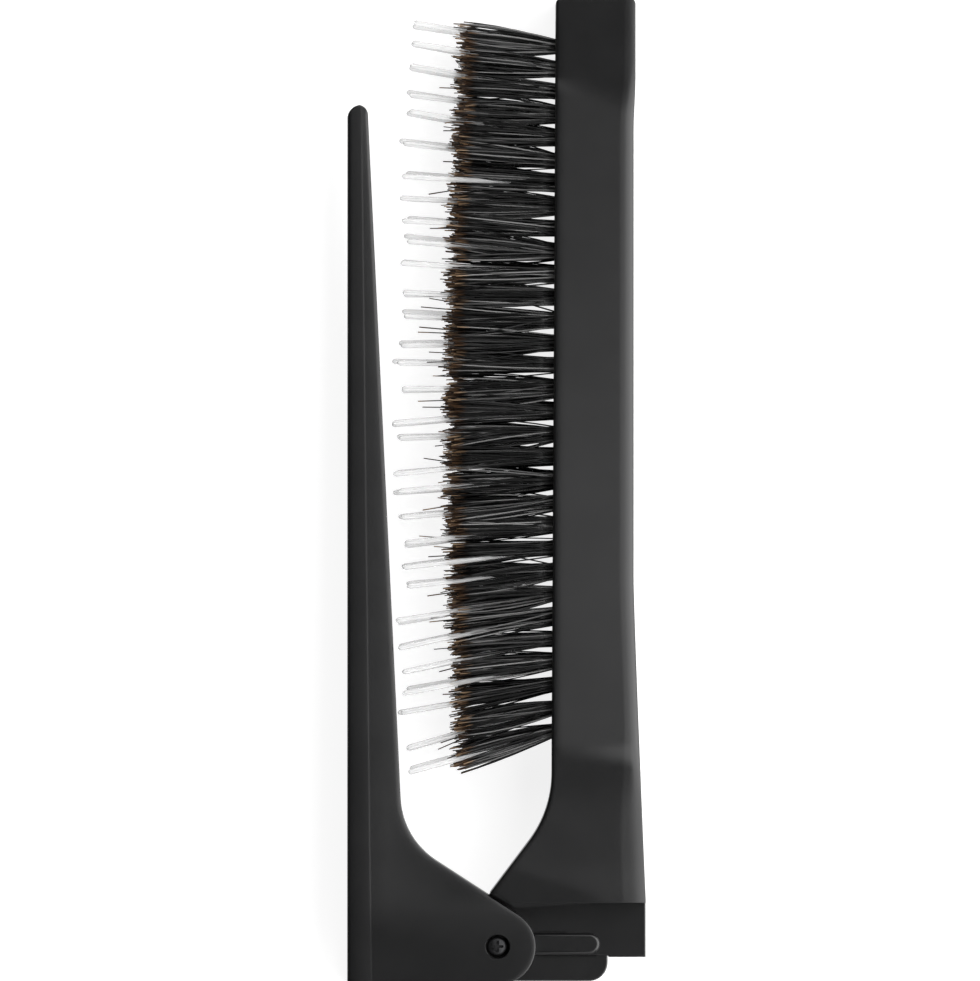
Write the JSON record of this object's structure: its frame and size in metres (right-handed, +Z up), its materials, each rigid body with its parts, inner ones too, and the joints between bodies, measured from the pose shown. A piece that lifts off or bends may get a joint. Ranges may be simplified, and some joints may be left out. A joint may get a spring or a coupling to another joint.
{
  "type": "folding teasing brush",
  "caption": "Slim folding teasing brush: a bristle head with boar tufts and longer nylon pins, hinged by a screw to a tapered pick tail, shown folded and lying on its side.",
  "frame": {"origin": "centre of the folded brush's outline, on the surface that it lies on", "axes": "+X from the tail towards the head, across the folded brush; +Y along the brush, from the hinge to the head's tip; +Z up, along the hinge pin"},
  "size_m": [0.0474, 0.1576, 0.016],
  "materials": {
    "black_plastic": "soft matte",
    "base_plastic": "matte",
    "boar_hair": "natural hair, dark with brown tips",
    "clear_nylon": "clear, rounded ends",
    "screw_steel": "blackened",
    "bushing_brass": "plain",
    "washer_plastic": "plain"
  },
  "bodies": {
    "head": {"head_body": "black_plastic", "bristle_base": "base_plastic", "boar_row_front": "boar_hair", "boar_row_middle": "boar_hair", "boar_row_rear": "boar_hair", "nylon_pins": "clear_nylon", "pivot_bushing": "bushing_brass", "washer_front": "washer_plastic", "washer_rear": "washer_plastic"},
    "tail": {"tail_handle": "black_plastic", "pivot_screw": "screw_steel", "pivot_nut": "screw_steel"}
  },
  "joints": [
    {"name": "tail_fold", "type": "hinge", "parent": "head", "child": "tail", "pos_m": [0, -0.0727, 0.008], "axis": [0, 0, 1], "range_deg": [0, 180]}
  ]
}
